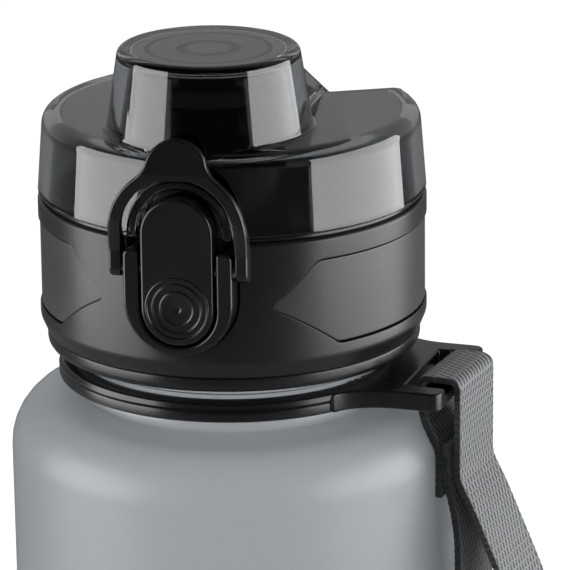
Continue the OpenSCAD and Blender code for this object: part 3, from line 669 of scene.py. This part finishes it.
def makeSeal(sizes):
    rim = sizes["rim"]
    return lathe(rounded([(0, rim - 2.6, 0), (7.6, rim - 2.6, 0.4), (8.4, rim + 0.05, 0.2),
                          (sizes["sealR"] - 0.3, rim + 0.05, 0.2), (sizes["sealR"], rim + 0.7, 0.2),
                          (sizes["sealR"], rim + 1.7, 0.2), (sizes["sealR"] - 0.3, rim + 2.3, 0.15),
                          (3.6, rim + 2.3, 0), (3.6, rim + 4.4, 0.3), (0, rim + 4.4, 0)], 4), segments=96,
                          place=(0, sizes["y"], 0))


spoutPiece = makePiece(atSeam(makeSpout(spoutSizes)), "drinkingSpout", "cap", blackPlastic,
                       ["drinking_spout"])
sealPiece = makePiece(atSeam(makeSeal(spoutSizes)), "spoutSeal", "lid", sealSilicone,
                      ["spout_seal"])

# clear flip lid
lidSizes = {"capR": 32.0, "topR": 30.9, "high": 14.0, "low": 0.4, "edge": 2.5, "wall": 2.0, "domeR": 16.7,
            "domeTopR": 14.6, "domeTop": 27.2, "domeEdge": 1.3, "rearFall": 26.0, "rearTurn": 26.0,
            "rearStart": 5.0, "rampHalf": 12.5, "archOut": 8.7, "archIn": 6.85, "archZ": 1.6,
            "ridgeFront": 33.0, "fillet": 0.7, "bossR": 5.2, "boreR": 3.6, "ribIn": 9.5, "ribOut": 10.3,
            "ceiling": 22.3, "knuckleFrom": 4.4, "knuckleTo": 7.3}


def smokedMaterial():
    # Smoke-tinted polycarbonate, polished mould: clear glossy walls that darken what lies behind them
    material, tree, output = newMaterial("smokedPolycarbonate")
    coords = addNode(tree, "TexCoord")
    # slow moulding waviness
    ripple = addNode(tree, "TexNoise", {},
                     {"Vector": (coords, "Object"), "Scale": 45.0, "Detail": 1.0, "Roughness": 0.4})
    dust = addNode(tree, "TexNoise", {}, {"Vector": (coords, "Object"), "Scale": 900.0, "Detail": 3.0})
    rough = addNode(tree, "MapRange", {},
                    {"Value": (dust, "Fac"), "From Min": 0.55, "From Max": 0.8, "To Min": 0.02, "To Max": 0.12})
    tint = addNode(tree, "ValToRGB", {}, {"Fac": (ripple, "Fac")})
    tint.color_ramp.elements[0].position, tint.color_ramp.elements[0].color = 0.3, hexColor("#6b6e70")
    tint.color_ramp.elements[1].position, tint.color_ramp.elements[1].color = 0.7, hexColor("#707375")
    bump = addNode(tree, "Bump", {}, {"Strength": 0.1, "Distance": 0.0002, "Height": (ripple, "Fac")})
    shader = addNode(tree, "BsdfPrincipled", {},
                     {"Base Color": (tint, "Color"), "Roughness": (rough, "Result"), "IOR": 1.58,
                      "Transmission Weight": 1.0, "Normal": (bump, "Normal")})
    finishMaterial(tree, output, shader)
    return material


def rearCut(sizes, side, inset):   # wedge above one of the two planes that fall to the rear
    wedge = block((-50, 0, -inset * math.tan(math.radians(sizes["rearFall"] / 2))), (50, 60, 40))
    bmesh.ops.rotate(wedge, verts=wedge.verts, matrix=Matrix.Rotation(-math.radians(sizes["rearFall"]), 3, "X"))
    bmesh.ops.rotate(wedge, verts=wedge.verts,
                     matrix=Matrix.Rotation(math.radians(side * sizes["rearTurn"]), 3, "Z"))
    bmesh.ops.translate(wedge, vec=(0, sizes["rearStart"], sizes["high"] - inset), verts=wedge.verts)
    cut = bmesh.ops.bisect_plane(wedge, geom=wedge.verts[:] + wedge.edges[:] + wedge.faces[:],
                                 plane_co=(0, 0, 0), plane_no=(-side, 0, 0), clear_outer=True)["geom_cut"]
    bmesh.ops.holes_fill(wedge, edges=[e for e in cut if isinstance(e, bmesh.types.BMEdge)], sides=0)
    bmesh.ops.recalc_face_normals(wedge, faces=wedge.faces)
    return wedge


def lidForm(sizes, inset):   # the lid's outer form, or its cavity with the wall as inset
    low = sizes["low"] - (1.4 if inset else 0)
    top = sizes["high"] - inset
    lean = (sizes["capR"] - sizes["topR"]) / (sizes["high"] - sizes["edge"])
    edge = sizes["edge"] - inset * 0.5
    drum = lathe(rounded([(0, low, 0), (sizes["capR"] - inset - lean * low, low, 0 if inset else 0.35),
                          (sizes["topR"] - inset, top, edge), (0, top, 0)], 8), segments=160)
    drum = combine(drum, [rearCut(sizes, side, inset) for side in (-1, 1)], "DIFFERENCE")
    domeLean = (sizes["domeR"] - sizes["domeTopR"]) / (sizes["domeTop"] - sizes["high"])
    domeLow = sizes["high"] - 9
    domeEdge = sizes["domeEdge"] - inset * 0.3
    dome = lathe(rounded([(0, domeLow, 0), (sizes["domeR"] - inset + domeLean * 9, domeLow, 0),
                          (sizes["domeTopR"] - inset, sizes["domeTop"] - inset, domeEdge),
                          (0, sizes["domeTop"] - inset, 0)], 8), segments=128, place=(0, spoutSizes["y"], 0))
    ramp = slab([(spoutSizes["y"], low), (32, low), (32, 5.6 - 1.15 * inset), (1.3, 20.5 - 1.15 * inset),
                 (spoutSizes["y"], 23.2 - inset)], inset - sizes["rampHalf"], sizes["rampHalf"] - inset, "side")
    drumLimit = rod(31.7 - inset, (0, 0, low), (0, 0, 40), 160)
    ramp = combine(ramp, [drumLimit], "INTERSECT")
    return drum, dome, ramp


def overFrontRim(place, sizes):   # where the dome runs out over the drum's round edge
    return place.y < 0 and math.hypot(place.x, place.y) > sizes["topR"] - sizes["edge"]


def makeLid(sizes):
    drum, dome, ramp = lidForm(sizes, 0)
    outline = [Vector((sizes["archOut"], sizes["low"]))] + arc(0, sizes["archZ"], sizes["archOut"], 0, 180, 40)
    outline += [Vector((-sizes["archOut"], sizes["low"])), Vector((-sizes["archIn"], sizes["low"]))]
    outline += arc(0, sizes["archZ"], sizes["archIn"], 180, 0, 36) + [Vector((sizes["archIn"], sizes["low"]))]
    ridge = slab(outline, 28, sizes["ridgeFront"], "front", 0.6, segments=4)
    outside = combine(drum, [dome, ramp], "UNION")
    bmesh.ops.dissolve_limit(outside, angle_limit=math.radians(0.4), verts=outside.verts, edges=outside.edges)
    surface = BVHTree.FromBMesh(outside)
    softenEdges(outside, sizes["fillet"], 24, 3,
                lambda edge: not any(overFrontRim(v.co, sizes) for v in edge.verts))
    for vert in outside.verts:   # a bevel can throw a point off a sliver, so it goes back on the surface
        near = surface.find_nearest(vert.co)
        if near[3] > sizes["fillet"] * 0.9:
            vert.co = near[0]
    bmesh.ops.remove_doubles(outside, verts=outside.verts, dist=0.02)
    bmesh.ops.dissolve_degenerate(outside, dist=0.002, edges=outside.edges)
    hollow = combine(outside, list(lidForm(sizes, sizes["wall"])), "DIFFERENCE")
    spoutY, ceiling, ribIn, ribOut = spoutSizes["y"], sizes["ceiling"], sizes["ribIn"], sizes["ribOut"]
    boss = rod(sizes["bossR"], (0, spoutY, ceiling), (0, spoutY, 26), 64)
    rib = lathe([(ribIn, ceiling), (ribOut, ceiling), (ribOut, 26), (ribIn, 26)], closed=True, segments=96,
                place=(0, spoutY, 0))
    bore = rod(sizes["boreR"], (0, spoutY, 21), (0, spoutY, 25.2), 48)
    knuckles = []
    hingeY, hingeZ, knuckle = capSizes["hingeY"], capSizes["hingeZ"], capSizes["knuckle"]
    profile = [Vector((30.2, 0.7)), Vector((hingeY - knuckle * 0.9, hingeZ - knuckle * 0.43))]
    profile += arc(hingeY, hingeZ, knuckle, -150, 90, 18) + [Vector((31.4, 5.3)), Vector((30.2, 3.0))]
    for side in (-1, 1):
        span = sorted((side * sizes["knuckleFrom"], side * sizes["knuckleTo"]))
        knuckles.append(slab(profile, span[0], span[1], "side", 0.25, True, 2))
    return combine(combine(hollow, [ridge, boss, rib] + knuckles, "UNION"), [bore], "DIFFERENCE")


smokedPlastic = smokedMaterial()
flipLid = makePiece(atSeam(makeLid(lidSizes)), "flipLid", "lid", smokedPlastic, ["flip_lid"], 30)

# push button with its ringed thumb pad
buttonSizes = {"half": 5.9, "low": -16.5, "high": 7.6, "back": 32.4, "front": 35.0, "padZ": -10.4, "padR": 5.3,
               "pinZ": -4.4, "pinY": -32.6, "bossR": 2.0, "hookHalf": 2.95, "hookFront": 33.4,
               "hookBack": 32.05, "hookLow": 5.6, "hookHigh": 6.9}


def makeButton(sizes):
    half, front, padZ, padR = sizes["half"], sizes["front"], sizes["padZ"], sizes["padR"]
    outline = arc(0, sizes["high"] - half, half, 0, 180, 32) + arc(0, sizes["low"] + half, half, 180, 360, 32)
    plate = slab(outline, sizes["back"], front, "front", 0.45, segments=4)
    well = rod(padR, (0, -front + 1.2, padZ), (0, -front - 2, padZ), 96)
    plate = combine(plate, [well], "DIFFERENCE")
    profile = rounded([(0, -1.4, 0), (padR + 0.02, -1.4, 0), (padR + 0.02, -0.05, 0.1),
                       (padR - 0.25, 0.2, 0.15), (padR - 0.5, -0.12, 0.1), (4.25, -0.14, 0.1), (4.0, 0.1, 0.12),
                       (3.75, -0.14, 0.1), (2.95, -0.16, 0.1), (2.7, 0.06, 0.12), (2.45, -0.16, 0.1),
                       (0.7, -0.18, 0.1), (0.45, -0.32, 0.1), (0, -0.34, 0)], 3)
    pad = lathe(profile, segments=96)
    turn = Matrix.Translation((0, -front, padZ)) @ Matrix.Rotation(math.pi / 2, 4, "X")
    bmesh.ops.transform(pad, matrix=turn, verts=pad.verts)
    boss = rod(sizes["bossR"], (-half, sizes["pinY"], sizes["pinZ"]), (half, sizes["pinY"], sizes["pinZ"]), 40)
    hookHalf = sizes["hookHalf"]
    hook = block((-hookHalf, -sizes["hookFront"], sizes["hookLow"]),
                 (hookHalf, -sizes["hookBack"], sizes["hookHigh"]))
    return join(plate, [pad, boss, hook])


latchButton = makePiece(atSeam(makeButton(buttonSizes)), "latchButton", "button", blackPlastic,
                        ["latch_button"])

# lock bail
bailSizes = {"inner": 9.25, "outer": 11.3, "archZ": 1.6, "foot": -6.0, "tabR": 5.1, "tabZ": 12.0, "fillet": 5.0,
             "pinY": 32.6, "pinZ": -4.4, "eye": 1.6, "back": 33.4, "thick": 1.65, "edge": 0.4}


def makeBail(sizes):
    outer, inner, tabR, fillet = sizes["outer"], sizes["inner"], sizes["tabR"], sizes["fillet"]
    apart = sizes["tabZ"] - sizes["archZ"]
    long, short = outer + fillet, tabR + fillet
    lean = math.degrees(math.acos((long * long + apart * apart - short * short) / (2 * long * apart)))
    turn = math.degrees(math.acos((short * short + apart * apart - long * long) / (2 * short * apart)))
    corner = Vector((long * math.sin(math.radians(lean)), sizes["archZ"] + long * math.cos(math.radians(lean))))
    right = [Vector((outer, sizes["foot"]))] + arc(0, sizes["archZ"], outer, 0, 90 - lean, 20)
    right += arc(corner.x, corner.y, fillet, 270 - lean, 90 + turn, 10)[1:-1]
    right += arc(0, sizes["tabZ"], tabR, turn - 90, 90, 24)
    outline = right + [Vector((-p.x, p.y)) for p in reversed(right[:-1])]
    outline += [Vector((-inner, sizes["foot"]))] + arc(0, sizes["archZ"], inner, 180, 0, 44)
    outline.append(Vector((inner, sizes["foot"])))
    whole = slab(outline, 30, 37, "front")
    back, front = sizes["back"], sizes["back"] + sizes["thick"]
    pinY, pinZ, eye = sizes["pinY"], sizes["pinZ"], sizes["eye"]
    top = sizes["tabZ"] + tabR + 0.1
    profile = rounded([(-pinY - eye, pinZ - eye, eye - 0.01), (-pinY + eye, pinZ - eye, eye - 0.01),
                       (-pinY + eye, -1.5, 3), (-back, 3.8, 4), (-back, 10.8, 5), (-back + 1.15, top, 0),
                       (-back - 0.5, top, 0.4), (-front, 11.5, 5), (-front, 3.8, 4), (-pinY - eye, -1.5, 3)], 6)
    whole = combine(whole, [slab(profile, -15, 15, "side")], "INTERSECT")
    return softenEdges(whole, sizes["edge"], 55, 3)


lockBail = makePiece(atSeam(makeBail(bailSizes)), "lockBail", "bail", blackPlastic,
                     ["lock_bail"])


# the pins, the hinge spring and the gasket keep their CAD shape
def steelMaterial():
    # Drawn stainless steel wire and pin stock: bright, with faint draw lines along it
    material, tree, output = newMaterial("drawnStainlessSteel")
    coords = addNode(tree, "TexCoord")
    lines = addNode(tree, "Mapping", inputs={"Vector": (coords, "Object"), "Scale": (60.0, 4000.0, 4000.0)})
    draw = addNode(tree, "TexNoise", {}, {"Vector": (lines, "Vector"), "Scale": 1.0, "Detail": 2.0})
    rough = addNode(tree, "MapRange", {}, {"Value": (draw, "Fac"), "To Min": 0.18, "To Max": 0.34})
    bump = addNode(tree, "Bump", {}, {"Strength": 0.2, "Distance": 0.00002, "Height": (draw, "Fac")})
    shader = addNode(tree, "BsdfPrincipled", {},
                     {"Base Color": hexColor("#c5c6c6"), "Metallic": 1.0, "Roughness": (rough, "Result"),
                      "Normal": (bump, "Normal")})
    finishMaterial(tree, output, shader)
    return material


steel = steelMaterial()
kept = {"hinge_pin": steel, "latch_pin": steel, "lid_spring": steel, "cap_gasket": sealSilicone}
for name, material in kept.items():
    mesh = nodes[name].data
    mesh.materials.clear()
    mesh.materials.append(material)
print("steel and silicone set on the kept parts")

# the spring behind the button
coilSizes = {"radius": 1.9, "wire": 0.22, "turns": 3, "steps": 24, "from": 29.17, "to": 31.98, "high": -10.4,
             "keep": 0.68}


def makeCoil(sizes):
    bm = bmesh.new()
    count = sizes["steps"] * sizes["turns"]
    place = Matrix.Translation((sizes["radius"], -sizes["from"], 0))
    bmesh.ops.create_circle(bm, cap_ends=True, segments=8, radius=sizes["wire"], matrix=place)
    rise = Vector((0, (sizes["from"] - sizes["to"]) / count, 0))
    bmesh.ops.spin(bm, geom=bm.verts[:] + bm.edges[:] + bm.faces[:], cent=(0, 0, 0), axis=(0, -1, 0), dvec=rise,
                   angle=2 * math.pi * sizes["turns"], steps=count, use_merge=False)
    bmesh.ops.remove_doubles(bm, verts=bm.verts, dist=1e-4)
    bmesh.ops.recalc_face_normals(bm, faces=bm.faces)
    bmesh.ops.translate(bm, verts=bm.verts, vec=(0, 0, sizes["high"]))
    return bm


coil = makePiece(atSeam(makeCoil(coilSizes)), "latchCoil", "cap", steel, ["latch_spring"])
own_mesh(coil)

# floor, world and lamps
studio = {"floorHalf": 4.0, "floorTone": "#9b9c9d", "glow": 0.92, "backLight": 0.36, "frontLight": 0.02,
          "fill": 0.8}


def addFloor(sizes):
    bm = bmesh.new()
    bmesh.ops.create_grid(bm, x_segments=1, y_segments=1, size=sizes["floorHalf"])
    mesh = bpy.data.meshes.new("paleFloor")
    bm.to_mesh(mesh)
    bm.free()
    floor = bpy.data.objects.new("paleFloor", mesh)
    scene.collection.objects.link(floor)
    material, tree, output = newMaterial("paleStudioFloor")
    plain = addNode(tree, "BsdfDiffuse", {}, {"Color": hexColor(sizes["floorTone"])})
    path = addNode(tree, "LightPath")
    coords = addNode(tree, "TexCoord")
    split = addNode(tree, "SeparateXYZ", {}, {"Vector": (coords, "Object")})
    # the sweep is lit behind the part
    behind = addNode(tree, "MapRange", {"interpolation_type": "SMOOTHSTEP"}, {
        "Value": (split, "Y"), "From Min": -0.1, "From Max": 0.15, "To Min": 0.0, "To Max": sizes["glow"]})
    through = addNode(tree, "Math", {"operation": "MULTIPLY"},
                      {0: (path, "Is Transmission Ray"), 1: (behind, "Result")})
    glow = addNode(tree, "Math", {"operation": "MULTIPLY_ADD"},
                   {0: (path, "Is Camera Ray"), 1: sizes["glow"], 2: (through, "Value")})
    white = addNode(tree, "Emission", {}, {"Color": (1, 1, 1, 1), "Strength": (glow, "Value")})
    both = addNode(tree, "AddShader", {}, {0: (plain, "BSDF"), 1: (white, "Emission")})
    finishMaterial(tree, output, both)
    mesh.materials.append(material)


def addWorld(sizes):
    world = bpy.data.worlds.new("studioWorld")
    world.use_nodes = True
    tree = world.node_tree
    tree.nodes.clear()
    output = addNode(tree, "OutputWorld")
    coords = addNode(tree, "TexCoord")
    split = addNode(tree, "SeparateXYZ", {}, {"Vector": (coords, "Generated")})
    backdrop = addNode(tree, "MapRange", {"interpolation_type": "SMOOTHSTEP"},
                       {"Value": (split, "Y"), "From Min": -0.2, "From Max": 0.6, "To Min": sizes["frontLight"],
                        "To Max": sizes["backLight"]})
    path = addNode(tree, "LightPath")
    fill = addNode(tree, "MapRange", {"interpolation_type": "SMOOTHSTEP"}, {
        "Value": (split, "Y"), "From Min": -1.0, "From Max": 0.2, "To Min": sizes["fill"], "To Max": 0.1})
    soft = addNode(tree, "Mix", {"data_type": "FLOAT"},
                   {0: (path, "Is Glossy Ray"), 2: (fill, "Result"), 3: (backdrop, "Result")})
    behind = addNode(tree, "MapRange", {"interpolation_type": "SMOOTHSTEP"}, {
        "Value": (split, "Y"), "From Min": -0.1, "From Max": 0.8, "To Min": sizes["frontLight"], "To Max": 1.0})
    through = addNode(tree, "Mix", {"data_type": "FLOAT"},
                      {0: (path, "Is Transmission Ray"), 2: (soft, 0), 3: (behind, "Result")})
    strength = addNode(tree, "Mix", {"data_type": "FLOAT"},
                       {0: (path, "Is Camera Ray"), 2: (through, 0), 3: 1.0})
    sky = addNode(tree, "Background", {}, {"Color": (1, 1, 1, 1), "Strength": (strength, 0)})
    tree.links.new(sky.outputs[0], output.inputs["Surface"])
    scene.world = world


# each softbox: angle from the camera's direction, distance, half width, low and high edge, and brightness
softboxes = [{"angle": -76.5, "distance": 0.5, "width": 0.5, "low": 0.02, "high": 0.42, "bright": 4.6},
             {"angle": 82.0, "distance": 0.5, "width": 0.715, "low": 0.02, "high": 0.42, "bright": 4.6}]


def addSoftbox(box, number):
    data = bpy.data.lights.new("softbox%d" % number, "AREA")
    data.shape = "RECTANGLE"
    data.size, data.size_y = box["width"], box["high"] - box["low"]
    data.energy = box["bright"] * math.pi * data.size * data.size_y
    lamp = bpy.data.objects.new(data.name, data)
    scene.collection.objects.link(lamp)
    around = math.radians(cameraView["azimuth"] + box["angle"])
    away = Vector((math.sin(around), -math.cos(around), 0))
    place = away * box["distance"] + Vector((0, 0, (box["low"] + box["high"]) / 2))
    lamp.matrix_world = Matrix.Translation(place) @ (-away).to_track_quat("-Z", "Y").to_matrix().to_4x4()


addFloor(studio)
addWorld(studio)
for number, box in enumerate(softboxes):
    addSoftbox(box, number)
scene.view_settings.view_transform = "Standard"
print("stage and lamps placed")
